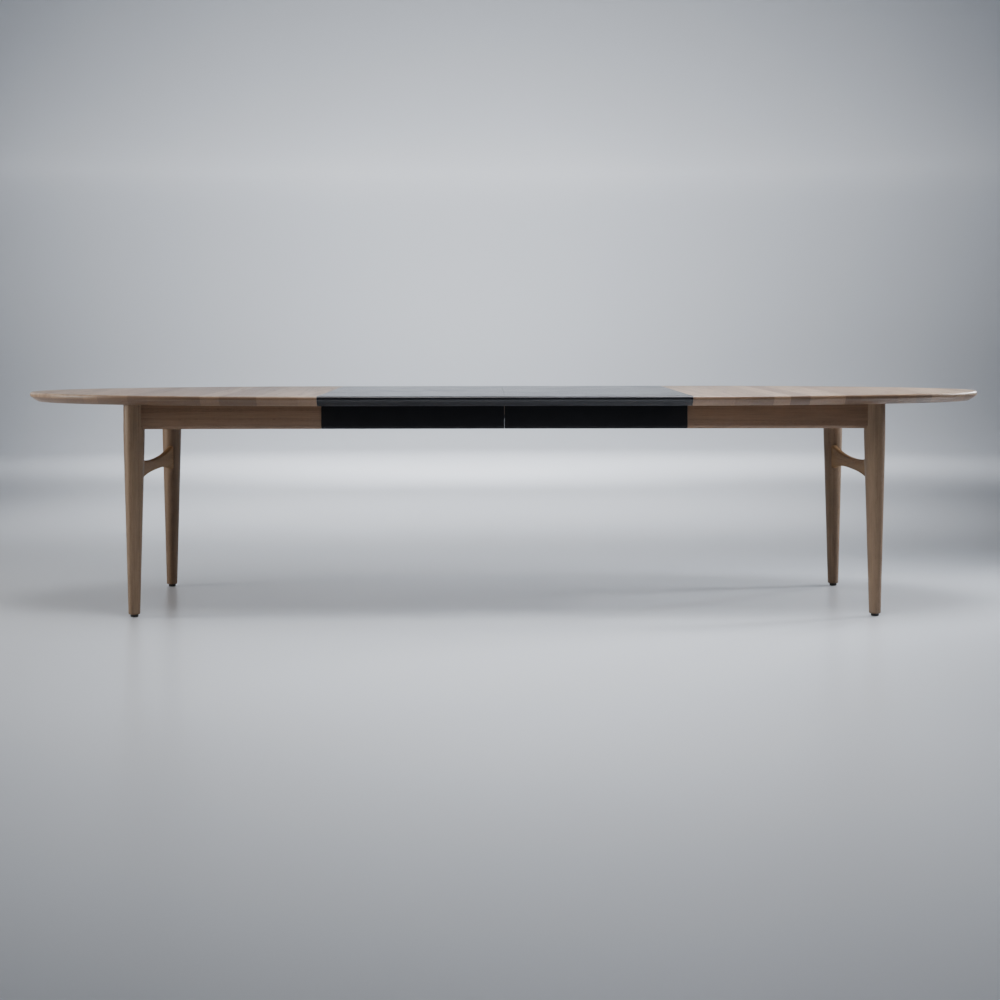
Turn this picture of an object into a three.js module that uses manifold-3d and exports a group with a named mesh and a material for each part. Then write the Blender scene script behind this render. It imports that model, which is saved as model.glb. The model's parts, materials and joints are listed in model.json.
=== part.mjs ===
// An extendable dining table, drawn out for two black leaves. Millimetres, +X along the table, +Y to
// its back, +Z up; the origin is on the floor under the middle of the top.
import * as THREE from "three";
import { mergeVertices } from "three/addons/utils/BufferGeometryUtils.js";
import Module from "manifold-3d";

const wasm = await Module();
wasm.setup();

// ---- driving dimensions ----
const LEAF_WIDTH = 600; // one extension leaf, along the table
const HALF_TOP = 1040; // one oak half top, from its joint to its rounded end
const TOP_WIDTH = 1150;
const HEIGHT = 730;
const TOP_THICK = 32;
const LEG_INSET_X = 423; // from the end of the top to the leg's axis
const LEG_Y = 375; // from the table's middle to the leg's axis
const APRON_HEIGHT = 81;
const RUNNER_LENGTH = 1150;
const STAGE_TRAVEL = 600; // how far one half has been drawn out from closed

// ---- clearances ----
const TOUCH = 0.3; // left between pieces that are glued or screwed together
const JOINT_GAP = 0.6; // between the panels of the top, and between an oak and a black apron
const MIDDLE_GAP = 0.7; // between the aprons of the two leaves
const SLIDE_GAP = 0.6; // between two runners that slide on each other

// ---- smaller sizes ----
const EDGE_ROUND = 7; // the round along the top edge
const NOSE_DEPTH = 12; // how far down the edge stays upright
const UNDERCUT = 28; // how far the edge is cut back at the underside
const UNDERCUT_POWER = 1.35; // 1 is a straight bevel, more is fuller
const APRON_THICK = 24;
const APRON_REVEAL = 23; // the apron's outer face, outside the leg's axis
const APRON_CHAMFER = 9;
const LEG_TOP_R = 35;
const LEG_FOOT_R = 19.2;
const LEG_STRAIGHT_FROM = 590; // above this height the leg no longer tapers
const FOOT_RAISE = 9; // the glide's height
const FOOT_R = 13;
const PIN = { r: 4, length: 22, short: 2 }; // the glide's nail, and how much shorter it is than its hole
const TENON = { thick: 10, length: 22, root: 6, shoulder: 12, fit: 0.3 };
const STRETCHER = { thick: 21, middleTop: 495, middleLow: 457 };
const STRETCHER_RISE = { size: 27, power: 2.2 }; // of the upper edge, from the middle to a leg
const STRETCHER_DROP = { size: 27, power: 2.8 }; // of the lower edge
const CORNER_BLOCK = { near: 54, far: 102, height: 40 };
const RUNNER = { width: 22, height: 42, keyDepth: 5, keyRoot: 8, keyTip: 12, keyFit: 0.4, outerY: 238 };
const TIE = { width: 30, height: 18 };
const CLEAT = { half: 240, size: 22 };
const GUIDE = { half: 35, height: 28, clear: 2 };
const LATCH = { y: 310, pivotBack: 26, reach: 55, thick: 3, armWidth: 14, plateThick: 2, drop: 1.2 };
const LATCH_PLATE = { halfX: 20, halfY: 12 };
const LATCH_CATCH = { halfX: 12, halfY: 10, pinR: 3, pinTail: 2 };
const HOOK = { play: 1.6, mouth: 1.4 }; // round the pin, and how much wider each side of its mouth is
const RIVET = { r: 4, headR: 6.5, headThick: 2, play: 0.5 };
const LATCH_OPEN = 0.6; // how far a latch arm stands open, in radians

// ---- sides given to round pieces ----
const LEG_SIDES = 40;
const GLIDE_SIDES = 28;
const RIVET_SIDES = 24;
const CATCH_PIN_SIDES = 20;

const SIDES = [
  [-1, "left"],
  [1, "right"],
];
const ENDS = [
  [-1, "front"],
  [1, "rear"],
];

// ---- worked out ----
const UNDERSIDE = HEIGHT - TOP_THICK;
const FRAME_TOP = UNDERSIDE - TOUCH;
const APRON_LOW = UNDERSIDE - APRON_HEIGHT;
const LEG_X = LEAF_WIDTH + HALF_TOP - LEG_INSET_X;
const APRON_OUT_Y = LEG_Y + APRON_REVEAL;
const APRON_IN_Y = APRON_OUT_Y - APRON_THICK;
const RAIL_OUT_X = LEG_X + APRON_REVEAL;
const RAIL_IN_X = RAIL_OUT_X - APRON_THICK;
const RUNNER_LOW = FRAME_TOP - RUNNER.height;

const finish = {
  oak: { color: 0xb08f6c, roughness: 0.55, metalness: 0 },
  blackLacquer: { color: 0x16171a, roughness: 0.4, metalness: 0 },
  beech: { color: 0xc9a27a, roughness: 0.6, metalness: 0 },
  steel: { color: 0xb4b6b8, roughness: 0.35, metalness: 1 },
  nylon: { color: 0x0d0d0e, roughness: 0.6, metalness: 0 },
};

const table = new THREE.Group();

function place(name, geometry, look) {
  const mesh = new THREE.Mesh(geometry, new THREE.MeshStandardMaterial(finish[look]));
  mesh.name = name;
  table.add(mesh);
  return mesh;
}

// ---- joining and cutting ----
function solidOf(geometry) {
  const bare = geometry.clone();
  bare.deleteAttribute("normal");
  bare.deleteAttribute("uv");
  const merged = mergeVertices(bare, 1e-3);
  return new wasm.Manifold(
    new wasm.Mesh({
      numProp: 3,
      vertProperties: new Float32Array(merged.attributes.position.array),
      triVerts: new Uint32Array(merged.index.array),
    }),
  );
}

function geometryOf(solid) {
  const mesh = solid.getMesh();
  const geometry = new THREE.BufferGeometry();
  geometry.setAttribute("position", new THREE.BufferAttribute(mesh.vertProperties, 3));
  geometry.setIndex(new THREE.BufferAttribute(mesh.triVerts, 1));
  return geometry;
}

// ---- plain shapes ----
function block([x0, x1], [y0, y1], [z0, z1]) {
  const geometry = new THREE.BoxGeometry(Math.abs(x1 - x0), Math.abs(y1 - y0), z1 - z0);
  return geometry.translate((x0 + x1) / 2, (y0 + y1) / 2, (z0 + z1) / 2);
}

// An outline of [y, z] points drawn out along X from x0 to x1.
function barAlongX(outline, x0, x1) {
  const shape = new THREE.Shape(outline.map(([y, z]) => new THREE.Vector2(y, z)));
  const depth = Math.abs(x1 - x0);
  const geometry = new THREE.ExtrudeGeometry(shape, { depth, bevelEnabled: false });
  const axes = [new THREE.Vector3(0, 1, 0), new THREE.Vector3(0, 0, 1), new THREE.Vector3(1, 0, 0)];
  geometry.applyMatrix4(new THREE.Matrix4().makeBasis(...axes));
  return geometry.translate(Math.min(x0, x1), 0, 0);
}

// A shape in the X-Y plane drawn up along Z from z0 to z1.
function plate(shape, z0, z1) {
  const geometry = new THREE.ExtrudeGeometry(shape, { depth: z1 - z0, bevelEnabled: false });
  return geometry.translate(0, 0, z0);
}

function turned(profile, sides, x, y) {
  const geometry = new THREE.LatheGeometry(
    profile.map(([r, z]) => new THREE.Vector2(r, z)),
    sides,
  );
  return geometry.rotateX(Math.PI / 2).translate(x, y, 0);
}

// Level rings of points, from the lowest up, skinned into one closed body.
function loft(rings) {
  const count = rings[0].length;
  const positions = rings.flat(2);
  const faces = [];
  for (let level = 0; level + 1 < rings.length; level += 1) {
    for (let k = 0; k < count; k += 1) {
      const a = level * count + k;
      const b = level * count + ((k + 1) % count);
      faces.push(a, b, b + count, a, b + count, a + count);
    }
  }
  const top = (rings.length - 1) * count;
  for (let k = 1; k + 1 < count; k += 1) {
    faces.push(0, k + 1, k, top, top + k, top + k + 1);
  }
  const geometry = new THREE.BufferGeometry();
  geometry.setAttribute("position", new THREE.Float32BufferAttribute(positions, 3));
  geometry.setIndex(faces);
  return geometry;
}

// ---- the top ----
// The edge of the top as [inset, height], from the underside up: an undercut, an upright nose, a round.
function edgeProfile() {
  const points = [];
  const undercutSteps = 6;
  for (let k = 0; k <= undercutSteps; k += 1) {
    const down = 1 - k / undercutSteps;
    const depth = NOSE_DEPTH + (TOP_THICK - NOSE_DEPTH) * down;
    points.push([UNDERCUT * down ** UNDERCUT_POWER, HEIGHT - depth]);
  }
  const roundSteps = 4;
  for (let k = 0; k <= roundSteps; k += 1) {
    const turn = ((Math.PI / 2) * k) / roundSteps;
    points.push([EDGE_ROUND * (1 - Math.cos(turn)), HEIGHT - EDGE_ROUND * (1 - Math.sin(turn))]);
  }
  return points;
}

// Half an ellipse of solid staves, its straight side at the joint. side is -1 for left, 1 for right.
function halfTop(side) {
  const jointX = LEAF_WIDTH + JOINT_GAP / 2;
  const arcSteps = 48;
  const rings = edgeProfile().map(([inset, z]) => {
    const ring = [];
    for (let k = 0; k <= arcSteps; k += 1) {
      const turn = Math.PI * (k / arcSteps - 0.5) + (side < 0 ? Math.PI : 0);
      const x = side * jointX + (HALF_TOP - JOINT_GAP / 2 - inset) * Math.cos(turn);
      ring.push([x, (TOP_WIDTH / 2 - inset) * Math.sin(turn), z]);
    }
    return ring;
  });
  return loft(rings);
}

function leafTop(x0, x1) {
  const front = edgeProfile().map(([inset, z]) => [TOP_WIDTH / 2 - inset, z]);
  const back = front.map(([y, z]) => [-y, z]).reverse();
  return barAlongX([...front, ...back], x0, x1);
}

// ---- the frame ----
function legRadius(z) {
  const taper = Math.min(1, (z - FOOT_RAISE) / (LEG_STRAIGHT_FROM - FOOT_RAISE));
  return LEG_FOOT_R + (LEG_TOP_R - LEG_FOOT_R) * taper;
}

function legProfile(grow) {
  const round = 2;
  const heights = [20, 200, 400, LEG_STRAIGHT_FROM];
  return [
    [0, FOOT_RAISE + PIN.length],
    [PIN.r + TOUCH, FOOT_RAISE + PIN.length],
    [PIN.r + TOUCH, FOOT_RAISE],
    [LEG_FOOT_R - round + grow, FOOT_RAISE],
    [LEG_FOOT_R + grow, FOOT_RAISE + 2 * round],
    ...heights.map((z) => [legRadius(z) + grow, z]),
    [LEG_TOP_R + grow, FRAME_TOP],
    [0, FRAME_TOP],
  ];
}

function stretcherOutline(reachY) {
  const steps = 10;
  const upper = [];
  const lower = [];
  for (let k = -steps; k <= steps; k += 1) {
    const y = (reachY * k) / steps;
    const outwards = Math.abs(k / steps);
    upper.push([y, STRETCHER.middleTop + STRETCHER_RISE.size * outwards ** STRETCHER_RISE.power]);
    lower.push([y, STRETCHER.middleLow - STRETCHER_DROP.size * outwards ** STRETCHER_DROP.power]);
  }
  return [...lower, ...upper.reverse()];
}

// One half of the base: two legs, the rails between them and the aprons that run to the joint.
function halfBase(side, label) {
  const legX = side * LEG_X;
  const reach = LEG_TOP_R - 1; // how far a tenon's root lies from the leg's axis
  const apronMid = LEG_Y + APRON_REVEAL - APRON_THICK / 2;
  const railMid = LEG_X + APRON_REVEAL - APRON_THICK / 2;
  const railZ = [APRON_LOW + TENON.shoulder, FRAME_TOP - TENON.shoulder];
  const stretcherZ = [STRETCHER.middleLow - TENON.shoulder, STRETCHER.middleTop + TENON.shoulder];
  const [half, fit] = [TENON.thick / 2, TENON.fit];

  // Each tenon is a block, made once at its own size for the rail and once with play for the mortise.
  const apronTenon = (end, play) =>
    block(
      [side * (LEG_X - reach - TENON.root), side * (LEG_X - reach + TENON.length + play)],
      [end * (apronMid - half - play), end * (apronMid + half + play)],
      [railZ[0] - play, railZ[1] + play],
    );
  const railTenon = (end, play) =>
    block(
      [side * (railMid - half - play), side * (railMid + half + play)],
      [end * (LEG_Y - reach - TENON.root), end * (LEG_Y - reach + TENON.length + play)],
      [railZ[0] - play, railZ[1] + play],
    );
  const stretcherTenon = (end, play) =>
    block(
      [side * (LEG_X - half - play), side * (LEG_X + half + play)],
      [end * (LEG_Y - reach - TENON.root), end * (LEG_Y - reach + TENON.length + play)],
      [stretcherZ[0] - play, stretcherZ[1] + play],
    );

  const legRoom = {};
  for (const [end, where] of ENDS) {
    const round = solidOf(turned(legProfile(0), LEG_SIDES, legX, end * LEG_Y));
    legRoom[end] = solidOf(turned(legProfile(TOUCH), LEG_SIDES, legX, end * LEG_Y));
    const leg = round
      .subtract(solidOf(apronTenon(end, fit)))
      .subtract(solidOf(railTenon(end, fit)))
      .subtract(solidOf(stretcherTenon(end, fit)));
    place(`${label}_${where}_leg`, geometryOf(leg), "oak");
    place(`${label}_${where}_glide`, glide(legX, end * LEG_Y), "nylon");

    const outline = apronOutline(end);
    const apron = solidOf(barAlongX(outline, side * (LEAF_WIDTH + JOINT_GAP / 2), legX))
      .subtract(legRoom[end])
      .add(solidOf(apronTenon(end, 0)));
    place(`${label}_${where}_apron`, geometryOf(largest(apron)), "oak");
    place(`${label}_${where}_corner_block`, cornerBlock(side, end), "beech");
  }

  const rail = solidOf(endRail(side))
    .subtract(legRoom[-1])
    .subtract(legRoom[1])
    .add(solidOf(railTenon(-1, 0)))
    .add(solidOf(railTenon(1, 0)));
  place(`${label}_end_rail`, geometryOf(largest(rail)), "oak");

  const [x0, x1] = [legX - STRETCHER.thick / 2, legX + STRETCHER.thick / 2];
  const insideLeg = 10;
  const stretcher = solidOf(barAlongX(stretcherOutline(LEG_Y - insideLeg), x0, x1))
    .subtract(legRoom[-1])
    .subtract(legRoom[1])
    .add(solidOf(stretcherTenon(-1, 0)))
    .add(solidOf(stretcherTenon(1, 0)));
  place(`${label}_arched_stretcher`, geometryOf(largest(stretcher)), "oak");
}

// The biggest of the bodies left by a cut: what is beyond the leg falls away.
function largest(solid) {
  return solid.decompose().sort((a, b) => b.volume() - a.volume())[0];
}

// A rail's section: upright, with its lower outer edge chamfered. end is -1 in front, 1 behind.
function apronOutline(end) {
  return [
    [end * APRON_IN_Y, APRON_LOW],
    [end * (APRON_OUT_Y - APRON_CHAMFER), APRON_LOW],
    [end * APRON_OUT_Y, APRON_LOW + APRON_CHAMFER],
    [end * APRON_OUT_Y, FRAME_TOP],
    [end * APRON_IN_Y, FRAME_TOP],
  ];
}

function endRail(side) {
  const outline = [
    [-RAIL_IN_X, APRON_LOW],
    [-RAIL_IN_X, FRAME_TOP],
    [-RAIL_OUT_X, FRAME_TOP],
    [-RAIL_OUT_X, APRON_LOW + APRON_CHAMFER],
    [-RAIL_OUT_X + APRON_CHAMFER, APRON_LOW],
  ];
  const bar = barAlongX(outline, -LEG_Y, LEG_Y);
  return bar.rotateZ((side * Math.PI) / 2);
}

function glide(x, y) {
  const chamfer = 1.5;
  const profile = [
    [0, 0],
    [FOOT_R - chamfer, 0],
    [FOOT_R, chamfer],
    [FOOT_R, FOOT_RAISE - TOUCH],
    [PIN.r, FOOT_RAISE - TOUCH],
    [PIN.r, FOOT_RAISE + PIN.length - PIN.short],
    [0, FOOT_RAISE + PIN.length - PIN.short],
  ];
  return turned(profile, GLIDE_SIDES, x, y);
}

// A block glued across the corner behind the leg, clear of the leg itself.
function cornerBlock(side, end) {
  const { near, far, height } = CORNER_BLOCK;
  const corner = [RAIL_IN_X - TOUCH, APRON_IN_Y - TOUCH];
  const shape = new THREE.Shape(
    [[near, 0], [far, 0], [0, far], [0, near]].map(
      ([back, across]) => new THREE.Vector2(side * (corner[0] - back), end * (corner[1] - across)),
    ),
  );
  return plate(shape, FRAME_TOP - height, FRAME_TOP);
}

// ---- the runners ----
const RUNNER_ORDER = ["left", "left_middle", "centre", "right_middle", "right"];

// A runner's section. out points away from the table's middle; the key is on the inner side and
// slides in the next runner's dovetail groove.
function runnerOutline(order, out) {
  const { width, height, keyDepth, keyRoot, keyTip, keyFit, outerY } = RUNNER;
  const outer = outerY - order * (width + SLIDE_GAP);
  const inner = outer - width;
  const [low, high, mid] = [RUNNER_LOW, FRAME_TOP, RUNNER_LOW + height / 2];
  const points = [[outer, low]];
  if (order > 0) {
    points.push(
      [outer, mid - keyRoot / 2 - keyFit],
      [outer - keyDepth - keyFit, mid - keyTip / 2 - keyFit],
      [outer - keyDepth - keyFit, mid + keyTip / 2 + keyFit],
      [outer, mid + keyRoot / 2 + keyFit],
    );
  }
  points.push([outer, high], [inner, high]);
  if (order < RUNNER_ORDER.length - 1) {
    points.push(
      [inner, mid + keyRoot / 2],
      [inner - keyDepth, mid + keyTip / 2],
      [inner - keyDepth, mid - keyTip / 2],
      [inner, mid - keyRoot / 2],
    );
  }
  points.push([inner, low]);
  return points.map(([y, z]) => [out * y, z]);
}

// Five runners in front and five behind. Closed, all lie side by side; drawn out, each is a stage on.
function runners() {
  RUNNER_ORDER.forEach((label, order) => {
    const middle = (order - 2) * (STAGE_TRAVEL / 2);
    for (const [out, where] of ENDS) {
      const bar = barAlongX(
        runnerOutline(order, out),
        middle - RUNNER_LENGTH / 2,
        middle + RUNNER_LENGTH / 2,
      );
      place(`${label}_${where}_runner`, bar, "beech");
    }
  });
}

// A bar under a pair of runners that keeps them parallel. order picks the pair.
function runnerTie(order, x) {
  const reach = RUNNER.outerY - order * (RUNNER.width + SLIDE_GAP);
  const high = RUNNER_LOW - TOUCH;
  return block([x - TIE.width / 2, x + TIE.width / 2], [-reach, reach], [high - TIE.height, high]);
}

function runnerTies() {
  const endOffset = RUNNER_LENGTH / 2 - TIE.width;
  place("left_middle_tie", runnerTie(1, -STAGE_TRAVEL / 2 - endOffset), "beech");
  place("right_middle_tie", runnerTie(3, STAGE_TRAVEL / 2 + endOffset), "beech");
  place("centre_left_tie", runnerTie(2, -RUNNER_LENGTH / 4), "beech");
  place("centre_right_tie", runnerTie(2, RUNNER_LENGTH / 4), "beech");
}

// ---- the leaves ----
function leaf(side, label) {
  const [near, far] = [JOINT_GAP / 2, LEAF_WIDTH - JOINT_GAP / 2];
  const ends = [side * near, side * far].sort((a, b) => a - b);
  place(`${label}_leaf_top`, leafTop(ends[0], ends[1]), "blackLacquer");

  const middle = (side * LEAF_WIDTH) / 2;
  for (const [end, where] of ENDS) {
    const apron = barAlongX(apronOutline(end), (side * MIDDLE_GAP) / 2, side * far);
    place(`${label}_leaf_${where}_apron`, apron, "blackLacquer");
    const inner = APRON_IN_Y - TOUCH;
    const strip = block(
      [middle - CLEAT.half, middle + CLEAT.half],
      [end * (inner - CLEAT.size), end * inner],
      [FRAME_TOP - CLEAT.size, FRAME_TOP],
    );
    place(`${label}_leaf_${where}_cleat`, strip, "beech");
  }

  // The guide drops between the innermost runners and keeps the leaf in line.
  const order = RUNNER_ORDER.length - 1;
  const reach = RUNNER.outerY - order * (RUNNER.width + SLIDE_GAP) - RUNNER.width - GUIDE.clear;
  const guide = block(
    [middle - GUIDE.half, middle + GUIDE.half],
    [-reach, reach],
    [FRAME_TOP - GUIDE.height, FRAME_TOP],
  );
  place(`${label}_leaf_guide`, guide, "beech");
}

// ---- the latches that draw each leaf up to its half top ----
const PLATE_LOW = FRAME_TOP - LATCH.plateThick;
const ARM_HIGH = PLATE_LOW - LATCH.drop;
const ARM_LOW = ARM_HIGH - LATCH.thick;

// The plate, its rivet and the rivet's head, as one riveted piece.
function latchPlate(x, y) {
  const { halfX, halfY } = LATCH_PLATE;
  const base = solidOf(block([x - halfX, x + halfX], [y - halfY, y + halfY], [PLATE_LOW, FRAME_TOP]));
  const headHigh = ARM_LOW - RIVET.play;
  const profile = [
    [0, headHigh - RIVET.headThick],
    [RIVET.headR, headHigh - RIVET.headThick],
    [RIVET.headR, headHigh],
    [RIVET.r, headHigh],
    [RIVET.r, PLATE_LOW + LATCH.plateThick / 2],
    [0, PLATE_LOW + LATCH.plateThick / 2],
  ];
  const rivet = turned(profile, RIVET_SIDES, x, y);
  return geometryOf(base.add(solidOf(rivet)));
}

// The arm, drawn hooked with its pivot at the origin. Its hook is open on the outer side, so it
// closes by swinging outwards. toLeaf and out are the signs of X towards the leaf and Y outwards.
function latchArm(toLeaf, out) {
  const { armWidth, reach } = LATCH;
  const half = armWidth / 2;
  const slot = LATCH_CATCH.pinR + HOOK.play;
  const tip = reach + 11;
  const corner = 3;
  const path = [
    [0, -half],
    [tip - corner, -half],
    [tip, corner - half],
    [tip, half],
    [reach + slot + HOOK.mouth, half],
    [reach + slot, 0],
    [reach + slot / 2, -slot],
    [reach - slot / 2, -slot],
    [reach - slot, 0],
    [reach - slot - HOOK.mouth, half],
  ];
  const roundSteps = 8;
  for (let k = 0; k < roundSteps; k += 1) {
    const turn = Math.PI / 2 + (Math.PI * k) / roundSteps;
    path.push([half * Math.cos(turn), half * Math.sin(turn)]);
  }
  const points = path.map(([along, across]) => new THREE.Vector2(toLeaf * along, out * across));
  const holeR = RIVET.r + 0.4;
  const hole = [
    [0, ARM_LOW - 1],
    [holeR, ARM_LOW - 1],
    [holeR, ARM_HIGH + 1],
    [0, ARM_HIGH + 1],
  ];
  const arm = solidOf(plate(new THREE.Shape(points), ARM_LOW, ARM_HIGH));
  return geometryOf(arm.subtract(solidOf(turned(hole, RIVET_SIDES, 0, 0))));
}

function latchCatch(x, y) {
  const { halfX, halfY, pinR, pinTail } = LATCH_CATCH;
  const base = solidOf(block([x - halfX, x + halfX], [y - halfY, y + halfY], [PLATE_LOW, FRAME_TOP]));
  const profile = [
    [0, ARM_LOW - pinTail],
    [pinR, ARM_LOW - pinTail],
    [pinR, PLATE_LOW + LATCH.plateThick / 2],
    [0, PLATE_LOW + LATCH.plateThick / 2],
  ];
  return geometryOf(base.add(solidOf(turned(profile, CATCH_PIN_SIDES, x, y))));
}

function latches(side, label) {
  for (const [end, where] of ENDS) {
    const pivotX = side * (LEAF_WIDTH + LATCH.pivotBack);
    const pinX = pivotX - side * LATCH.reach;
    const y = end * LATCH.y;
    place(`${label}_${where}_latch_plate`, latchPlate(pivotX, y), "steel");
    const arm = place(`${label}_${where}_latch_arm`, latchArm(-side, end), "steel");
    arm.position.set(pivotX, y, 0);
    arm.rotation.z = side * end * LATCH_OPEN;
    place(`${label}_${where}_latch_catch`, latchCatch(pinX, y), "steel");
  }
}

// ---- the assembly ----
for (const [side, label] of SIDES) {
  place(`${label}_half_top`, halfTop(side), "oak");
  halfBase(side, label);
  leaf(side, label);
  latches(side, label);
}
runners();
runnerTies();

export default table;
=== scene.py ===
import json
import math
import random

import bmesh
import bpy
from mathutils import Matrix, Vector


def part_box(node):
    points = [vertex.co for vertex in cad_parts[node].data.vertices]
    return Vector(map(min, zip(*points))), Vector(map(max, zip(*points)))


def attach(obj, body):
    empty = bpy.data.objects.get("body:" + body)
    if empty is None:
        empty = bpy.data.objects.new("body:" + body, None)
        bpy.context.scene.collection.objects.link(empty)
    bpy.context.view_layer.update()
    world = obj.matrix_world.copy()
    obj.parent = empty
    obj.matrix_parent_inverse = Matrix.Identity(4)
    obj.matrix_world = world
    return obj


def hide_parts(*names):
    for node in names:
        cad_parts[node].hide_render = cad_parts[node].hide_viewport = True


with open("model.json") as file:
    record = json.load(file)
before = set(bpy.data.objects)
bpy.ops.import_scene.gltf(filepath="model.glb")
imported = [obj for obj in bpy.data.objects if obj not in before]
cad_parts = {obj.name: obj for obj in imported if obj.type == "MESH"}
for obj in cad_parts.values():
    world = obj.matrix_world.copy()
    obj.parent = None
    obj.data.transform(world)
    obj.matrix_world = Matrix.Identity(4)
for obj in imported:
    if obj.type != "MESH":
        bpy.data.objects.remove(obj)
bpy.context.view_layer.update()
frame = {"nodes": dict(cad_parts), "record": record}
nodeBody = {name: body for body, names in frame["record"]["behaviour"]["bodies"].items() for name in names}
sides = {"left": -1, "right": 1}
ends = {"front": -1, "rear": 1}
print("frame loaded:", len(nodeBody), "pieces")


# camera, level, with the lens shifted down
cameraSettings = {
    "place": (-0.0615, -6.606, 0.933),
    "roll": 0.0014,
    "lens": 68.24,
    "shift": (0.0145, -0.1676),
}


def addCamera():
    data = bpy.data.cameras.new("tableCamera")
    data.sensor_width = 36
    data.lens = cameraSettings["lens"]
    data.shift_x, data.shift_y = cameraSettings["shift"]
    camera = bpy.data.objects.new("tableCamera", data)
    camera.location = cameraSettings["place"]
    camera.rotation_euler = (math.pi / 2, cameraSettings["roll"], 0)
    bpy.context.collection.objects.link(camera)
    bpy.context.scene.camera = camera


addCamera()
print("camera placed")


# small helpers for meshes

def addPiece(name, mesh, material, smoothAngle=35):
    mesh.shade_smooth()
    mesh.set_sharp_from_angle(angle=math.radians(smoothAngle))
    mesh.materials.clear()
    mesh.materials.append(material)
    piece = bpy.data.objects.new(name, mesh)
    bpy.context.collection.objects.link(piece)
    return piece


# a piece that stands in for a node of the frame
def standFor(piece, nodeName):
    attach(piece, nodeBody[nodeName])
    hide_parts(nodeName)
    return piece


# a small extra piece, such as a screw, that goes with a node
def goesWith(piece, nodeName):
    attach(piece, nodeBody[nodeName])
    return piece


def meshFrom(bm, name):
    bmesh.ops.recalc_face_normals(bm, faces=bm.faces)
    mesh = bpy.data.meshes.new(name)
    bm.to_mesh(mesh)
    bm.free()
    return mesh


# the middle of a node's box, seen from above
def middleOf(nodeName):
    low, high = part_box(nodeName)
    return (low.x + high.x) / 2, (low.y + high.y) / 2


# turns a profile of (radius, height) round an upright axis
def turnedMesh(name, profile, axisX, axisY, around=96):
    bm = bmesh.new()
    rings = []
    for radius, height in profile:
        if radius == 0:
            rings.append([bm.verts.new((axisX, axisY, height))])
            continue
        ring = []
        for k in range(around):
            turn = 2 * math.pi * k / around
            place = (axisX + radius * math.cos(turn), axisY + radius * math.sin(turn), height)
            ring.append(bm.verts.new(place))
        rings.append(ring)
    for low, high in zip(rings, rings[1:]):
        for k in range(around):
            after = k + 1
            corners = [
                low[k % len(low)], low[after % len(low)],
                high[after % len(high)], high[k % len(high)],
            ]
            # a ring of one vert, on the axis, makes triangles
            bm.faces.new(list(dict.fromkeys(corners)))
    return meshFrom(bm, name)


# small helpers for node materials

def addNode(tree, kind, inputs=None, **settings):
    made = tree.nodes.new(kind)
    for key, value in settings.items():
        setattr(made, key, value)
    for key, value in (inputs or {}).items():
        if isinstance(value, bpy.types.NodeSocket):
            tree.links.new(value, made.inputs[key])
        else:
            made.inputs[key].default_value = value
    return made


def mathNode(tree, operation, first, second=0.0, third=0.0):
    inputs = {0: first, 1: second, 2: third}
    return addNode(tree, "ShaderNodeMath", inputs, operation=operation).outputs[0]


def rampNode(tree, factor, stops):
    made = addNode(tree, "ShaderNodeValToRGB", {0: factor})
    elements = made.color_ramp.elements
    while len(elements) < len(stops):
        elements.new(0.5)
    for element, (position, colour) in zip(elements, stops):
        element.position = position
        element.color = (*colour, 1)
    return made.outputs[0]


def noiseNode(tree, vector, scale, detail, roughness=0.5):
    inputs = {"Vector": vector, "Scale": scale, "Detail": detail, "Roughness": roughness}
    return addNode(tree, "ShaderNodeTexNoise", inputs).outputs["Fac"]


def objectCoords(tree):
    return addNode(tree, "ShaderNodeTexCoord").outputs["Object"]


def spread(tree, factor, low, high, toLow=0.0, toHigh=1.0):
    made = addNode(
        tree,
        "ShaderNodeMapRange",
        {"Value": factor, "From Min": low, "From Max": high, "To Min": toLow, "To Max": toHigh},
        interpolation_type="SMOOTHSTEP",
    )
    return made.outputs["Result"]


def mixColour(tree, factor, first, second, blend="MIX"):
    made = addNode(tree, "ShaderNodeMix", data_type="RGBA", blend_type=blend)
    for index, value in ((0, factor), (6, first), (7, second)):
        if isinstance(value, bpy.types.NodeSocket):
            tree.links.new(value, made.inputs[index])
        else:
            made.inputs[index].default_value = (*value, 1) if isinstance(value, tuple) else value
    return made.outputs[2]


# multiplies a colour by a grey value
def shaded(tree, colour, value):
    grey = addNode(tree, "ShaderNodeCombineColor", {0: value, 1: value, 2: value}).outputs[0]
    return mixColour(tree, 1.0, colour, grey, "MULTIPLY")


# spreads part of a texture's range over a pair of roughnesses
def linkRoughness(tree, shader, texture, low, high, limits):
    tree.links.new(spread(tree, texture, low, high, *limits), shader.inputs["Roughness"])


def linkBump(tree, shader, height, strength, distance):
    inputs = {"Height": height, "Strength": strength, "Distance": distance}
    tree.links.new(addNode(tree, "ShaderNodeBump", inputs).outputs[0], shader.inputs["Normal"])


def startMaterial(name):
    material = bpy.data.materials.new(name)
    material.use_nodes = True
    tree = material.node_tree
    tree.nodes.clear()
    shader = addNode(tree, "ShaderNodeBsdfPrincipled")
    output = addNode(tree, "ShaderNodeOutputMaterial")
    tree.links.new(shader.outputs[0], output.inputs["Surface"])
    return material, tree, shader


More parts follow.
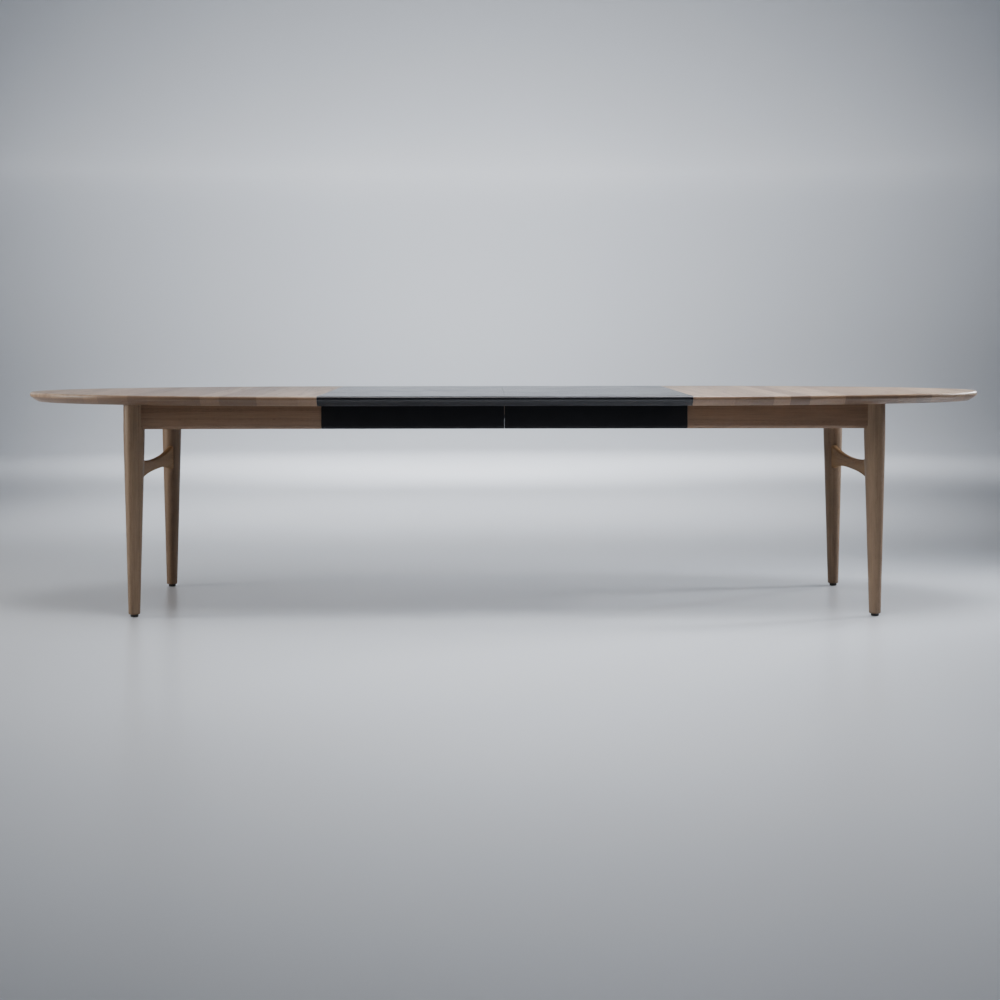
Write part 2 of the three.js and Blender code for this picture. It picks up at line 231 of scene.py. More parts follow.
# Timber. The grain runs along one axis of the frame; growth rings, pores and rays are drawn across it.
# The top's oak: its paler colours are partly the timber's own tone and partly a painted sheen; its end
# grain colour is made darker than the timber's as painted shade on the front edge.
staveSettings = {
    "pale": (0.490, 0.345, 0.235),
    "middle": (0.360, 0.242, 0.160),
    "dark": (0.205, 0.128, 0.086),
    "pore": (0.105, 0.062, 0.042),
    "endGrain": (0.142, 0.078, 0.040),
    "roughness": (0.36, 0.52),
    "figure": (0.55, 11.0),
    "rings": 12.0,
    "ringShare": 0.42,
    "poreDepth": 0.00022,
    "rayStrength": 0.16,
    "specular": 0.50,
    "coat": 0.30,
    "coatRoughness": 0.26,
}
# The frame, legs and stretchers are darker copies of the same oak: partly their own tone, partly painted
# shade.
frameOak = {
    **staveSettings,
    "pale": (0.240, 0.150, 0.094),
    "middle": (0.192, 0.114, 0.069),
    "dark": (0.134, 0.076, 0.046),
    "pore": (0.080, 0.044, 0.028),
    "roughness": (0.46, 0.62),
    "figure": (0.22, 26.0),
    "rings": 5.0,
    "ringShare": 0.30,
    "specular": 0.36,
    "coat": 0.0,
}
legOak = {
    **frameOak,
    "pale": (0.225, 0.150, 0.093),
    "middle": (0.182, 0.116, 0.070),
    "dark": (0.128, 0.078, 0.047),
    "figure": (0.30, 24.0),
}
stretcherOak = {
    **legOak,
    "pale": (0.300, 0.182, 0.092),
    "middle": (0.250, 0.147, 0.073),
    "dark": (0.172, 0.097, 0.049),
    "figure": (0.9, 16.0),
    "roughness": (0.62, 0.76),
    "specular": 0.05,
}
beechSettings = {
    **frameOak,
    "pale": (0.60, 0.40, 0.26),
    "middle": (0.53, 0.335, 0.205),
    "dark": (0.44, 0.262, 0.155),
    "pore": (0.33, 0.180, 0.105),
    "endGrain": (0.40, 0.245, 0.150),
    "figure": (0.5, 12.0),
    "rings": 7.0,
    "poreDepth": 0.00008,
    "rayStrength": 0.30,
    "specular": 0.42,
}


# what all timber shares; cells are per metre, along and across the grain
grainSettings = {
    "fibreCells": (9.0, 420.0),
    "driftCells": (1.1, 11.0),
    "poreCells": (55.0, 1500.0),
    "rayCells": (60.0, 210.0),
    "arcCells": (0.5, 24.0),
    "endPoreCells": (4.0, 1100.0),
    "figureRoughness": 0.35,
    "fibreRoughness": 0.6,
    "arcCount": 22.0,
    "fibreShade": (0.86, 1.12),
    "endShade": (0.80, 1.26),
    "toneShare": 0.80,
    "poreShade": 0.62,
    "arcShade": 0.45,
    "endPoreShade": 0.7,
    "longGrainInEnd": 0.14,
    "fibreHeight": 0.25,
    "bumpStrength": 0.55,
    "staveJump": (0.0, 3.7, 1.9),
}


# a noise that is long along the grain
def grainNoise(tree, coords, grain, cells, detail, roughness=0.5):
    along, across = cells
    scale = [across] * 3
    scale["XYZ".index(grain)] = along
    stretched = addNode(tree, "ShaderNodeMapping", {"Vector": coords, "Scale": scale}).outputs[0]
    return noiseNode(tree, stretched, 1.0, detail, roughness)


# a saw from 0 to 1 that starts again count times over a noise's range
def contourLines(tree, noise, count):
    return mathNode(tree, "FRACT", mathNode(tree, "MULTIPLY", noise, count))


# coordinates that jump from stave to stave, and the tone of each stave
def staveCoords(tree, coords):
    stave = addNode(tree, "ShaderNodeAttribute", attribute_name="stave").outputs["Fac"]
    tone = addNode(tree, "ShaderNodeAttribute", attribute_name="tone").outputs["Fac"]
    shift = addNode(tree, "ShaderNodeCombineXYZ", {"X": 0.0, "Y": stave, "Z": stave}).outputs[0]
    jump = addNode(
        tree, "ShaderNodeVectorMath", {0: shift, 1: grainSettings["staveJump"]}, operation="MULTIPLY"
    ).outputs[0]
    moved = addNode(tree, "ShaderNodeVectorMath", {0: coords, 1: jump}, operation="ADD").outputs[0]
    return moved, tone


# how far a surface cuts across the fibres, plus painted shade: a face that points down takes the dark end
# grain colour sooner, as if in shadow
def endGrainWithPaintedShade(tree, grain):
    normal = addNode(tree, "ShaderNodeTexCoord").outputs["Normal"]
    split = addNode(tree, "ShaderNodeSeparateXYZ", {0: normal})
    facing = mathNode(tree, "ABSOLUTE", split.outputs["XYZ".index(grain)])
    # painted shade: faces that point down are darkened
    downFacingShade = spread(tree, split.outputs["Z"], -0.75, -0.08, 1.0, 0.0)
    undercutPaintedShade = mathNode(tree, "MULTIPLY", downFacingShade, spread(tree, facing, 0.10, 0.40))
    return mathNode(tree, "MAXIMUM", spread(tree, facing, 0.50, 0.90), undercutPaintedShade)


# end grain: arcs of rings and round pores; the same colour is laid on the down-facing undercut as painted
# shade
def endGrainColour(tree, settings, coords, grain, base, tone):
    shared = grainSettings
    arcs = grainNoise(tree, coords, grain, shared["arcCells"], 1.0)
    arcLine = spread(tree, contourLines(tree, arcs, shared["arcCount"]), 0.5, 0.95)
    dots = grainNoise(tree, coords, grain, shared["endPoreCells"], 1.0)
    dotShare = mathNode(tree, "MULTIPLY", spread(tree, dots, 0.54, 0.66), shared["endPoreShade"])
    arcShare = mathNode(tree, "MULTIPLY", arcLine, shared["arcShade"])
    colour = mixColour(tree, arcShare, settings["endGrain"], settings["pore"])
    colour = mixColour(tree, shared["longGrainInEnd"], colour, base)
    if tone is not None:
        colour = shaded(tree, colour, spread(tree, tone, 0.0, 1.0, *shared["endShade"]))
    return mixColour(tree, dotShare, colour, settings["pore"])


def timberMaterial(name, settings, grain, staved=False):
    material, tree, shader = startMaterial(name)
    shared = grainSettings
    coords, tone = objectCoords(tree), None
    if staved:
        coords, tone = staveCoords(tree, coords)

    # growth rings: contour lines of a long soft noise
    figure = grainNoise(tree, coords, grain, settings["figure"], 2.0, shared["figureRoughness"])
    ringPhase = contourLines(tree, figure, settings["rings"])
    earlyWood = spread(tree, ringPhase, 0.55, 0.98)
    ringEnd = spread(tree, ringPhase, 0.0, 0.10, 1.0, 0.0)
    ringShade = mathNode(tree, "MAXIMUM", earlyWood, ringEnd)

    # fibres and the slow drift of tone over a board
    fibre = grainNoise(tree, coords, grain, shared["fibreCells"], 4.0, shared["fibreRoughness"])
    drift = grainNoise(tree, coords, grain, shared["driftCells"], 3.0)

    # open pores, gathered in the early wood
    poreNoise = grainNoise(tree, coords, grain, shared["poreCells"], 1.0)
    poreShare = mathNode(tree, "MULTIPLY_ADD", ringShade, 0.75, 0.25)
    pores = mathNode(tree, "MULTIPLY", spread(tree, poreNoise, 0.57, 0.66), poreShare)

    # medullary rays, short pale flecks
    rayNoise = grainNoise(tree, coords, grain, shared["rayCells"], 2.0)
    rays = mathNode(tree, "MULTIPLY", spread(tree, rayNoise, 0.60, 0.72), settings["rayStrength"])

    base = mixColour(tree, spread(tree, drift, 0.3, 0.7), settings["middle"], settings["pale"])
    if staved:
        stops = [(0.0, settings["dark"]), (0.5, settings["middle"]), (1.0, settings["pale"])]
        base = mixColour(tree, shared["toneShare"], base, rampNode(tree, tone, stops))
    ringFactor = mathNode(tree, "MULTIPLY", ringShade, settings["ringShare"])
    colour = mixColour(tree, ringFactor, base, settings["dark"])
    colour = shaded(tree, colour, spread(tree, fibre, 0.25, 0.75, *shared["fibreShade"]))
    colour = mixColour(tree, rays, colour, settings["pale"])
    poreFactor = mathNode(tree, "MULTIPLY", pores, shared["poreShade"])
    colour = mixColour(tree, poreFactor, colour, settings["pore"])

    # the end grain colour also goes on faces that point down, as painted shade
    endGrainAndShadeShare = endGrainWithPaintedShade(tree, grain)
    endColour = endGrainColour(tree, settings, coords, grain, base, tone)
    tree.links.new(mixColour(tree, endGrainAndShadeShare, colour, endColour), shader.inputs["Base Color"])

    rough = mathNode(tree, "MAXIMUM", pores, spread(tree, fibre, 0.3, 0.9))
    linkRoughness(tree, shader, rough, 0.0, 1.0, settings["roughness"])
    raised = mathNode(tree, "MULTIPLY", fibre, shared["fibreHeight"])
    height = mathNode(tree, "SUBTRACT", raised, pores)
    linkBump(tree, shader, height, shared["bumpStrength"], settings["poreDepth"])
    shader.inputs["Specular IOR Level"].default_value = settings["specular"]
    # end grain drinks the finish and stays duller; the down-facing faces painted in shade lose their coat
    # with it
    if settings["coat"]:
        coat = spread(tree, endGrainAndShadeShare, 0.0, 1.0, settings["coat"], 0.0)
        tree.links.new(coat, shader.inputs["Coat Weight"])
    shader.inputs["Coat Roughness"].default_value = settings["coatRoughness"]
    return material


oakTop = timberMaterial("oakTopStaves", staveSettings, "Y", staved=True)
oakLeg = timberMaterial("oakLegs", legOak, "Z")
oakApron = timberMaterial("oakSideAprons", frameOak, "X")
oakRail = timberMaterial("oakEndRails", frameOak, "Y")
oakStretcher = timberMaterial("oakStretchers", stretcherOak, "Y")
beechLong = timberMaterial("beechRunners", beechSettings, "X")
beechCross = timberMaterial("beechTies", beechSettings, "Y")
print("timber materials made")


# Black lacquer, sprayed: a faint orange peel, fine dust nibs and a slightly uneven sheen.
lacquerSettings = {
    "colour": (0.0098, 0.0098, 0.0125),
    "worn": (0.012, 0.012, 0.014),
    "roughness": (0.18, 0.24),
    "peelDepth": 0.00003,
    "bumpStrength": 0.35,
    "nibHeight": 0.6,
    "cloudScale": 9.0,
    "peelScale": 620.0,
    "nibScale": 1900.0,
    "specular": 0.34,
}
# the leaf aprons are duller than the leaves
apronLacquerSettings = {
    **lacquerSettings,
    "colour": (0.0150, 0.0150, 0.0165),
    "roughness": (0.40, 0.50),
    "specular": 0.06,
}


def lacquerMaterial(name, settings):
    material, tree, shader = startMaterial(name)
    coords = objectCoords(tree)
    cloud = noiseNode(tree, coords, settings["cloudScale"], 4.0)
    peel = noiseNode(tree, coords, settings["peelScale"], 2.0)
    nibs = spread(tree, noiseNode(tree, coords, settings["nibScale"], 0.0), 0.70, 0.80)
    edge = addNode(tree, "ShaderNodeNewGeometry").outputs["Pointiness"]
    wear = mathNode(tree, "MULTIPLY", spread(tree, edge, 0.52, 0.60), cloud)
    colour = mixColour(tree, wear, settings["colour"], settings["worn"])
    tree.links.new(colour, shader.inputs["Base Color"])
    linkRoughness(tree, shader, cloud, 0.25, 0.75, settings["roughness"])
    height = mathNode(tree, "ADD", mathNode(tree, "MULTIPLY", nibs, settings["nibHeight"]), peel)
    linkBump(tree, shader, height, settings["bumpStrength"], settings["peelDepth"])
    shader.inputs["Specular IOR Level"].default_value = settings["specular"]
    return material


# Zinc-plated pressed steel: a cloudy sheen with fine rolling lines.
steelSettings = {
    "pale": (0.63, 0.63, 0.60),
    "dull": (0.42, 0.43, 0.43),
    "roughness": (0.26, 0.46),
    "cloudScale": 160.0,
    "lineCells": (60.0, 3200.0),
    "lineDepth": 0.00003,
    "bumpStrength": 0.4,
}


def steelMaterial(name, settings):
    material, tree, shader = startMaterial(name)
    coords = objectCoords(tree)
    cloud = noiseNode(tree, coords, settings["cloudScale"], 5.0)
    lines = grainNoise(tree, coords, "X", settings["lineCells"], 2.0)
    colour = mixColour(tree, spread(tree, cloud, 0.35, 0.7), settings["dull"], settings["pale"])
    tree.links.new(colour, shader.inputs["Base Color"])
    linkRoughness(tree, shader, cloud, 0.3, 0.8, settings["roughness"])
    linkBump(tree, shader, lines, settings["bumpStrength"], settings["lineDepth"])
    shader.inputs["Metallic"].default_value = 1.0
    return material


# Moulded nylon, faintly grained, scuffed pale towards the floor.
nylonSettings = {
    "colour": (0.011, 0.011, 0.012),
    "scuffed": (0.06, 0.058, 0.055),
    "scuffHeight": 0.004,
    "roughness": (0.42, 0.62),
    "grainScale": 1400.0,
    "grainDepth": 0.00005,
    "bumpStrength": 0.3,
}


def nylonMaterial(name, settings):
    material, tree, shader = startMaterial(name)
    coords = objectCoords(tree)
    height = addNode(tree, "ShaderNodeSeparateXYZ", {0: coords}).outputs["Z"]
    grain = noiseNode(tree, coords, settings["grainScale"], 3.0)
    nearFloor = spread(tree, height, 0.0, settings["scuffHeight"], 1.0, 0.0)
    scuff = mathNode(tree, "MULTIPLY", nearFloor, grain)
    colour = mixColour(tree, scuff, settings["colour"], settings["scuffed"])
    tree.links.new(colour, shader.inputs["Base Color"])
    linkRoughness(tree, shader, grain, 0.2, 0.8, settings["roughness"])
    linkBump(tree, shader, grain, settings["bumpStrength"], settings["grainDepth"])
    return material


blackLacquer = lacquerMaterial("blackLacquer", lacquerSettings)
apronLacquer = lacquerMaterial("blackApronLacquer", apronLacquerSettings)
zincSteel = steelMaterial("zincSteel", steelSettings)
blackNylon = nylonMaterial("blackNylon", nylonSettings)
print("lacquer, steel and nylon made")


# The edge that runs round the whole top: a small round, an upright nose, a long undercut.
edgeSettings = {
    "round": 0.007,
    "nose": 0.012,
    "undercut": 0.028,
    "power": 1.35,
    "jointArris": 0.0005,
    "flatRun": 0.002,
    "roundSteps": 8,
    "undercutSteps": 12,
}
topLow, topHigh = (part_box("left_leaf_top")[k].z for k in (0, 1))
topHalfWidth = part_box("left_leaf_top")[1].y


# (inset, height) from the underside up, ending on the flat so that the round stays clean
def edgeProfile():
    given = edgeSettings
    points = [(given["undercut"] + given["flatRun"], topLow)]
    depthBelowNose = topHigh - topLow - given["nose"]
    for k in range(given["undercutSteps"] + 1):
        down = 1 - k / given["undercutSteps"]
        inset = given["undercut"] * down ** given["power"]
        points.append((inset, topLow + depthBelowNose * (1 - down)))
    for k in range(given["roundSteps"] + 1):
        turn = math.pi / 2 * k / given["roundSteps"]
        inset = given["round"] * (1 - math.cos(turn))
        points.append((inset, topHigh - given["round"] * (1 - math.sin(turn))))
    points.append((given["round"] + given["flatRun"], topHigh))
    return points


# Each half top is glued up from staves that run across the table.
staveLayout = {
    "narrowest": 0.050,
    "widest": 0.072,
    "seed": {"left": 11, "right": 24},
    "jointTone": 0.86,
    "leftFigureShift": 0.37,
    "arcSteps": 200,
}


def staveLines(nearX, farX, seed):
    source = random.Random(seed)
    lines = [nearX]
    while lines[-1] < farX:
        lines.append(lines[-1] + source.uniform(staveLayout["narrowest"], staveLayout["widest"]))
    tones = [source.random() for _ in lines]
    # the stave at the joint is a pale one
    tones[0] = staveLayout["jointTone"]
    return lines, tones


def halfTop(sideName):
    side = sides[sideName]
    low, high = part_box(f"{sideName}_half_top")
    jointX = low.x if side > 0 else -high.x
    farX = high.x if side > 0 else -low.x
    bm = bmesh.new()
    rings = []
    for inset, height in edgeProfile():
        arris = edgeSettings["jointArris"] if height > topHigh - 1e-6 else 0.0
        ring = []
        for k in range(staveLayout["arcSteps"] + 1):
            turn = math.pi * (k / staveLayout["arcSteps"] - 0.5)
            x = jointX + arris + (farX - jointX - arris - inset) * math.cos(turn)
            ring.append(bm.verts.new((side * x, (topHalfWidth - inset) * math.sin(turn), height)))
        rings.append(ring)
    for lower, upper in zip(rings, rings[1:]):
        for k in range(staveLayout["arcSteps"]):
            bm.faces.new((lower[k], lower[k + 1], upper[k + 1], upper[k]))
        bm.faces.new((lower[0], upper[0], upper[-1], lower[-1]))
    bm.faces.new(rings[0])
    bm.faces.new(list(reversed(rings[-1])))

    lines, tones = staveLines(jointX, farX, staveLayout["seed"][sideName])
    for line in lines[1:]:
        bmesh.ops.bisect_plane(
            bm,
            geom=[*bm.verts, *bm.edges, *bm.faces],
            dist=1e-6,
            plane_co=(side * line, 0, 0),
            plane_no=(1, 0, 0),
        )
    mesh = meshFrom(bm, f"{sideName}HalfTop")
    stave = mesh.attributes.new("stave", "FLOAT", "FACE")
    tone = mesh.attributes.new("tone", "FLOAT", "FACE")
    for face in mesh.polygons:
        index = sum(1 for line in lines[1:] if line < side * face.center.x)
        stave.data[face.index].value = index + (0 if side > 0 else staveLayout["leftFigureShift"])
        tone.data[face.index].value = tones[index]
    return standFor(addPiece(f"{sideName}_top_staves", mesh, oakTop), f"{sideName}_half_top")


def leafPanel(sideName):
    nodeName = f"{sideName}_leaf_top"
    low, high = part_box(nodeName)
    arris = edgeSettings["jointArris"]
    profile = edgeProfile()
    outline = [(-topHalfWidth + inset, height) for inset, height in profile]
    outline += [(-y, height) for y, height in reversed(outline)]
    bm = bmesh.new()
    sections = []
    for x, inset in ((low.x, arris), (low.x + arris, 0.0), (high.x - arris, 0.0), (high.x, arris)):
        section = []
        for y, height in outline:
            lifted = min(height, topHigh - inset)
            section.append(bm.verts.new((x, y, lifted)))
        sections.append(section)
    for first, second in zip(sections, sections[1:]):
        for k in range(len(outline)):
            after = (k + 1) % len(outline)
            bm.faces.new((first[k], first[after], second[after], second[k]))
    bm.faces.new(sections[0])
    bm.faces.new(list(reversed(sections[-1])))
    bmesh.ops.dissolve_degenerate(bm, dist=1e-7, edges=bm.edges)
    mesh = meshFrom(bm, f"{sideName}LeafPanel")
    return standFor(addPiece(f"{sideName}_leaf_panel", mesh, blackLacquer), nodeName)


for sideName in sides:
    halfTop(sideName)
    leafPanel(sideName)
print("tops made")


# Legs, turned, with the taper running down from under the apron.
legSettings = {
    "footRadius": 0.0192,
    "footRound": 0.003,
    "footSteps": 5,
    "straightFrom": 0.590,
    "straightRun": 0.02,
    "taperSteps": 24,
    "easeFrom": 0.9,
    "easeShare": 0.012,
    "around": 96,
}


def leg(sideName, endName):
    nodeName = f"{sideName}_{endName}_leg"
    given = legSettings
    low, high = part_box(nodeName)
    axisX, axisY = middleOf(nodeName)
    topRadius = (high.x - low.x) / 2
    footRadius, foot, straight = given["footRadius"], given["footRound"], given["straightFrom"]
    profile = [(0, low.z), (footRadius - foot, low.z)]
    for k in range(1, given["footSteps"] + 1):
        turn = math.pi / 2 * k / given["footSteps"]
        profile.append((footRadius - foot * (1 - math.sin(turn)), low.z + foot * (1 - math.cos(turn))))
    for k in range(1, given["taperSteps"] + 1):
        z = low.z + foot + (straight - low.z - foot) * k / given["taperSteps"]
        share = (z - low.z) / (straight - low.z)
        # the last stretch eases into the straight
        share -= given["easeShare"] * max(0, share - given["easeFrom"]) / (1 - given["easeFrom"])
        profile.append((footRadius + (topRadius - footRadius) * share, z))
    profile += [(topRadius, straight + given["straightRun"]), (topRadius, high.z), (0, high.z)]
    mesh = turnedMesh(nodeName + "Turned", profile, axisX, axisY, given["around"])
    return standFor(addPiece(nodeName + "_turned", mesh, oakLeg), nodeName)


glideSettings = {"topRound": 0.0012, "lowRound": 0.0022, "roundSteps": 6, "legGap": 0.0003, "around": 64}


def glide(sideName, endName):
    nodeName = f"{sideName}_{endName}_glide"
    given = glideSettings
    low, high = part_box(nodeName)
    axisX, axisY = middleOf(nodeName)
    radius = (high.x - low.x) / 2
    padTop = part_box(f"{sideName}_{endName}_leg")[0].z - given["legGap"]
    turns = [math.pi / 2 * k / given["roundSteps"] for k in range(given["roundSteps"] + 1)]
    profile = [(0, 0)]
    for turn in turns:
        inset = given["lowRound"] * (1 - math.sin(turn))
        profile.append((radius - inset, given["lowRound"] * (1 - math.cos(turn))))
    for turn in turns:
        inset = given["topRound"] * (1 - math.cos(turn))
        profile.append((radius - inset, padTop - given["topRound"] * (1 - math.sin(turn))))
    profile.append((0, padTop))
    mesh = turnedMesh(nodeName + "Moulded", profile, axisX, axisY, given["around"])
    return standFor(addPiece(nodeName + "_moulded", mesh, blackNylon), nodeName)


for sideName in sides:
    for endName in ends:
        leg(sideName, endName)
        glide(sideName, endName)
print("legs and glides made")


# Stretchers: both edges are hollow curves, and their arrises are rounded by hand.
stretcherSettings = {
    "middleTop": 0.495,
    "middleLow": 0.457,
    "rise": 0.027,
    "risePower": 2.2,
    "drop": 0.027,
    "dropPower": 2.8,
    "reach": 0.365,
    "intoLeg": 0.020,
    "ease": 0.0060,
    "steps": 64,
    "easeSteps": 4,
}


def stretcher(sideName):
    nodeName = f"{sideName}_arched_stretcher"
    low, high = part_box(nodeName)
    given = stretcherSettings
    midX = middleOf(nodeName)[0]
    half = (high.x - low.x) / 2
    reachY = -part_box(f"{sideName}_front_leg")[1].y + given["intoLeg"]
    bm = bmesh.new()
    sections = []
    for k in range(-given["steps"], given["steps"] + 1):
        y = reachY * k / given["steps"]
        outwards = abs(y / given["reach"])
        top = given["middleTop"] + given["rise"] * outwards ** given["risePower"]
        bottom = given["middleLow"] - given["drop"] * outwards ** given["dropPower"]
        section = []
        for cornerX, cornerZ, fromTurn in (
            (half, top, 0.0),
            (-half, top, math.pi / 2),
            (-half, bottom, math.pi),
            (half, bottom, 1.5 * math.pi),
        ):
            centreX = cornerX - math.copysign(given["ease"], cornerX)
            centreZ = cornerZ - (given["ease"] if cornerZ == top else -given["ease"])
            for step in range(given["easeSteps"] + 1):
                turn = fromTurn + math.pi / 2 * step / given["easeSteps"]
                place = (
                    midX + centreX + given["ease"] * math.cos(turn),
                    y,
                    centreZ + given["ease"] * math.sin(turn),
                )
                section.append(bm.verts.new(place))
        sections.append(section)
    count = len(sections[0])
    for first, second in zip(sections, sections[1:]):
        for k in range(count):
            bm.faces.new((first[k], first[(k + 1) % count], second[(k + 1) % count], second[k]))
    bm.faces.new(sections[0])
    bm.faces.new(list(reversed(sections[-1])))
    mesh = meshFrom(bm, nodeName + "Shaped")
    return standFor(addPiece(nodeName + "_shaped", mesh, oakStretcher), nodeName)


for sideName in sides:
    stretcher(sideName)
print("stretchers made")


# Everything sawn, planed or pressed: the frame's own shape with its edges eased. Angles are in degrees.
easeSettings = {"segments": 2, "flatAngle": 0.6, "sharpAngle": 28}
# (how far the edges are eased, material) for the pieces on both sides
easedPieces = {
    "_end_rail": (0.0012, oakRail),
    "_front_apron": (0.0012, oakApron),
    "_rear_apron": (0.0012, oakApron),
    "_leaf_front_apron": (0.0010, apronLacquer),
    "_leaf_rear_apron": (0.0010, apronLacquer),
    "_leaf_front_cleat": (0.0010, beechLong),
    "_leaf_rear_cleat": (0.0010, beechLong),
    "_leaf_guide": (0.0015, beechCross),
    "_front_corner_block": (0.0015, beechCross),
    "_rear_corner_block": (0.0015, beechCross),
    "_front_runner": (0.0006, beechLong),
    "_rear_runner": (0.0006, beechLong),
    "_middle_front_runner": (0.0006, beechLong),
    "_middle_rear_runner": (0.0006, beechLong),
    "_middle_tie": (0.0010, beechCross),
    "_front_latch_plate": (0.00025, zincSteel),
    "_rear_latch_plate": (0.00025, zincSteel),
    "_front_latch_arm": (0.00030, zincSteel),
    "_rear_latch_arm": (0.00030, zincSteel),
    "_front_latch_catch": (0.00025, zincSteel),
    "_rear_latch_catch": (0.00025, zincSteel),
}
centrePieces = {
    "centre_front_runner": (0.0006, beechLong),
    "centre_rear_runner": (0.0006, beechLong),
    "centre_left_tie": (0.0010, beechCross),
    "centre_right_tie": (0.0010, beechCross),
}


# a copy of a frame node with its sharp edges eased, as a block plane and sandpaper leave them
def easedCopy(nodeName, ease):
    flatAngle, sharpAngle = (math.radians(easeSettings[key]) for key in ("flatAngle", "sharpAngle"))
    bm = bmesh.new()
    bm.from_mesh(frame["nodes"][nodeName].data)
    bmesh.ops.remove_doubles(bm, verts=bm.verts, dist=1e-6)
    bmesh.ops.dissolve_limit(bm, angle_limit=flatAngle, verts=bm.verts, edges=bm.edges)
    bm.normal_update()
    joined = [edge for edge in bm.edges if len(edge.link_faces) == 2]
    bmesh.ops.bevel(
        bm,
        geom=[edge for edge in joined if edge.calc_face_angle() > sharpAngle],
        offset=ease,
        segments=easeSettings["segments"],
        profile=0.5,
        affect="EDGES",
        clamp_overlap=True,
    )
    return meshFrom(bm, nodeName + "_eased")


def easePiece(nodeName, ease, material):
    mesh = easedCopy(nodeName, ease)
    standFor(addPiece(nodeName + "_eased", mesh, material), nodeName)


for sideName in sides:
    for ending, (ease, material) in easedPieces.items():
        easePiece(sideName + ending, ease, material)
for nodeName, (ease, material) in centrePieces.items():
    easePiece(nodeName, ease, material)
print("rails, aprons, runners and latches eased")


# Screws: countersunk heads with a cross recess, let in under the ties, cleats, plates and catches.
screwSettings = {
    "headRadius": 0.0040,
    "proud": 0.0003,
    "into": 0.0024,
    "slotLength": 0.0027,
    "slotWidth": 0.0006,
    "slotDepth": 0.0011,
    "rootShare": 0.55,
    "around": 32,
}


# one head pointing down, its face at height z, its cross turned by turn
def addScrew(bm, x, y, z, turn):
    given = screwSettings
    radius, long, wide = given["headRadius"], given["slotLength"], given["slotWidth"]
    face = z - given["proud"]
    rim = [
        bm.verts.new((x + radius * math.cos(a), y + radius * math.sin(a), face))
        for a in (2 * math.pi * k / given["around"] for k in range(given["around"]))
    ]
    cross = [(long, -wide), (long, wide), (wide, wide)]
    lip = []
    for quarter in range(4):
        a = turn + math.pi / 2 * quarter
        for px, py in cross:
            turnedX, turnedY = px * math.cos(a) - py * math.sin(a), px * math.sin(a) + py * math.cos(a)
            lip.append(bm.verts.new((x + turnedX, y + turnedY, face)))
    loops = [[ring[k], ring[(k + 1) % len(ring)]] for ring in (rim, lip) for k in range(len(ring))]
    edges = [bm.edges.new(pair) for pair in loops]
    bmesh.ops.triangle_fill(bm, edges=edges, use_beauty=True)
    deep = [bm.verts.new((v.co.x, v.co.y, face + given["slotDepth"])) for v in lip]
    share = given["rootShare"]
    root = [
        bm.verts.new((x + (v.co.x - x) * share, y + (v.co.y - y) * share, z + given["into"])) for v in rim
    ]
    for first, second in ((lip, deep), (rim, root)):
        for k in range(len(first)):
            after = (k + 1) % len(first)
            bm.faces.new((first[k], first[after], second[after], second[k]))
    bm.faces.new(deep)
    bm.faces.new(root)


# screws at given (x, y) under a node, whose lower face is at height z
def screwsUnder(nodeName, places, z):
    source = random.Random(nodeName)
    bm = bmesh.new()
    for x, y in places:
        addScrew(bm, x, y, z, source.uniform(0, math.pi / 2))
    piece = addPiece(nodeName + "_screws", meshFrom(bm, nodeName + "Screws"), zincSteel, 30)
    return goesWith(piece, nodeName)


# how far the screws sit from a piece's end, or from its middle
screwPlaces = {
    "cleatEnd": 0.030,
    "cleatCount": 4,
    "plateEnd": 0.0045,
    "catchMiddle": 0.0075,
    "latchDepth": 0.002,
    "tieMiddle": 0.008,
}


def addScrews():
    given = screwPlaces
    for sideName in sides:
        for endName in ends:
            cleat = f"{sideName}_leaf_{endName}_cleat"
            low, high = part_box(cleat)
            midY = middleOf(cleat)[1]
            start, run = low.x + given["cleatEnd"], high.x - low.x - 2 * given["cleatEnd"]
            gaps = given["cleatCount"] - 1
            screwsUnder(cleat, [(start + run * k / gaps, midY) for k in range(gaps + 1)], low.z)

            plate = f"{sideName}_{endName}_latch_plate"
            low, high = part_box(plate)
            midY = middleOf(plate)[1]
            places = [(low.x + given["plateEnd"], midY), (high.x - given["plateEnd"], midY)]
            screwsUnder(plate, places, high.z - given["latchDepth"])

            catch = f"{sideName}_{endName}_latch_catch"
            midX, midY = middleOf(catch)
            places = [(midX - given["catchMiddle"], midY), (midX + given["catchMiddle"], midY)]
            screwsUnder(catch, places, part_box(catch)[1].z - given["latchDepth"])
    ties = {
        "left_middle_tie": "left_middle",
        "right_middle_tie": "right_middle",
        "centre_left_tie": "centre",
        "centre_right_tie": "centre",
    }
    for tie, runner in ties.items():
        midX = middleOf(tie)[0]
        places = []
        for endName in ends:
            midY = middleOf(f"{runner}_{endName}_runner")[1]
            places += [(midX - given["tieMiddle"], midY), (midX + given["tieMiddle"], midY)]
        screwsUnder(tie, places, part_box(tie)[0].z)


addScrews()
print("screws made")


# Studio: a round floor whose rim turns up into a wall, under a nearly black sky.
studioSettings = {
    "floorRadius": 8.6,
    "floorGap": 0.0002,
    "coveRadius": 2.4,
    "coveSteps": 24,
    "wallHeight": 7.5,
    "around": 160,
    "floorColour": (0.640, 0.675, 0.735),
    "floorDarker": 0.985,
    "floorCloud": 0.8,
    "floorRoughness": (0.27, 0.31),
    "world": (0.006, 0.0065, 0.0075),
    "worldStrength": 1.0,
}


def floorMaterial():
    material, tree, shader = startMaterial("paleFloor")
    cloud = noiseNode(tree, objectCoords(tree), studioSettings["floorCloud"], 1.0)
    tint = studioSettings["floorColour"]
    darker = tuple(studioSettings["floorDarker"] * value for value in tint)
    tree.links.new(mixColour(tree, cloud, darker, tint), shader.inputs["Base Color"])
    linkRoughness(tree, shader, cloud, 0.0, 1.0, studioSettings["floorRoughness"])
    return material


